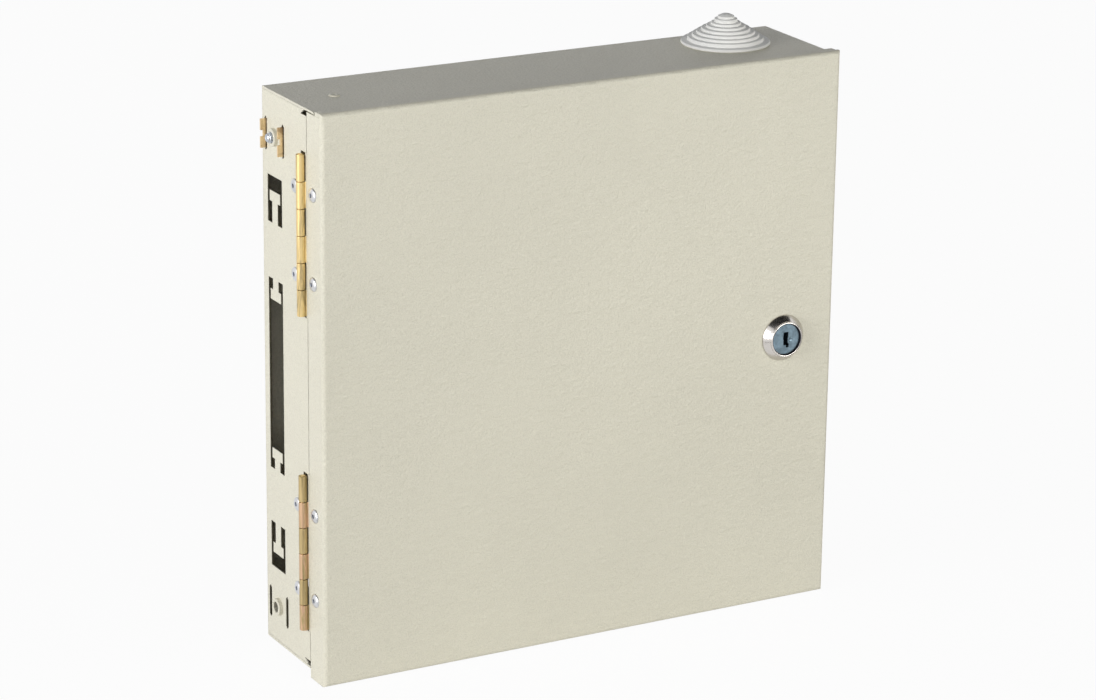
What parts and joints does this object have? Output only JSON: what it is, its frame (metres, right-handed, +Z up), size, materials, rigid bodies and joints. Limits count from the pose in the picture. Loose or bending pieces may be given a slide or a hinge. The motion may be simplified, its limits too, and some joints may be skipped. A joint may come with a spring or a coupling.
{
  "type": "fiber optic distribution box",
  "caption": "Wall-mounted fiber optic distribution box: cream folded-sheet cabinet with a lockable hinged door, tie-down windows, stepped grommet and splice tray.",
  "frame": {"origin": "centre of the body's back face, where it lies on the wall", "axes": "+X to the right seen from the front, +Y back into the wall, +Z up"},
  "size_m": [0.273, 0.067, 0.2836],
  "materials": {
    "cream_powder_coat": "satin",
    "yellow_zinc": "satin",
    "rivet_steel": "satin",
    "bright_zinc": "satin",
    "lock_chrome": "polished",
    "plug_zinc": "satin",
    "grommet_rubber": "matte",
    "adapter_blue": "satin",
    "cap_plastic": "satin",
    "tray_plastic": "satin",
    "comb_plastic": "satin",
    "lid_clear": "clear"
  },
  "bodies": {
    "cabinet": {"adapter_1": "adapter_blue", "adapter_2": "adapter_blue", "adapter_3": "adapter_blue", "adapter_4": "adapter_blue", "adapter_5": "adapter_blue", "adapter_6": "adapter_blue", "adapter_7": "adapter_blue", "adapter_8": "adapter_blue", "adapter_bracket": "cream_powder_coat", "body_rivets": "rivet_steel", "box_body": "cream_powder_coat", "cable_grommet": "grommet_rubber", "clamp_bracket": "yellow_zinc", "clamp_screw": "bright_zinc", "earth_nut": "bright_zinc", "earth_stud": "bright_zinc", "hinge_wall": "cream_powder_coat", "lid_nuts": "tray_plastic", "lower_hinge_body_leaf": "yellow_zinc", "lower_hinge_pin": "yellow_zinc", "lower_threaded_bush": "cream_powder_coat", "patch_cap_1": "cap_plastic", "patch_cap_2": "cap_plastic", "patch_cap_3": "cap_plastic", "patch_cap_4": "cap_plastic", "patch_cap_5": "cap_plastic", "patch_cap_6": "cap_plastic", "patch_cap_7": "cap_plastic", "patch_cap_8": "cap_plastic", "pigtail_cap_1": "cap_plastic", "pigtail_cap_2": "cap_plastic", "pigtail_cap_3": "cap_plastic", "pigtail_cap_4": "cap_plastic", "pigtail_cap_5": "cap_plastic", "pigtail_cap_6": "cap_plastic", "pigtail_cap_7": "cap_plastic", "pigtail_cap_8": "cap_plastic", "splice_comb": "comb_plastic", "splice_tray": "tray_plastic", "top_rivet": "cream_powder_coat", "tray_lid": "lid_clear", "tray_studs": "bright_zinc", "upper_hinge_body_leaf": "yellow_zinc", "upper_hinge_pin": "yellow_zinc", "upper_threaded_bush": "cream_powder_coat"},
    "door_leaf": {"door": "cream_powder_coat", "door_rivets": "rivet_steel", "upper_hinge_door_leaf": "yellow_zinc", "lower_hinge_door_leaf": "yellow_zinc", "lock_barrel": "lock_chrome", "lock_nut": "bright_zinc"},
    "lock": {"lock_plug": "plug_zinc", "lock_cam": "bright_zinc", "cam_screw": "bright_zinc"}
  },
  "joints": [
    {"name": "door_hinge", "type": "hinge", "parent": "cabinet", "child": "door_leaf", "pos_m": [-0.13435, -0.0454, -0.07645], "axis": [0, 0, -1], "range_deg": [0, 180]},
    {"name": "lock_turn", "type": "hinge", "parent": "door_leaf", "child": "lock", "pos_m": [0.109, -0.063, -0.0035], "axis": [0, 1, 0], "range_deg": [0, 90]}
  ]
}
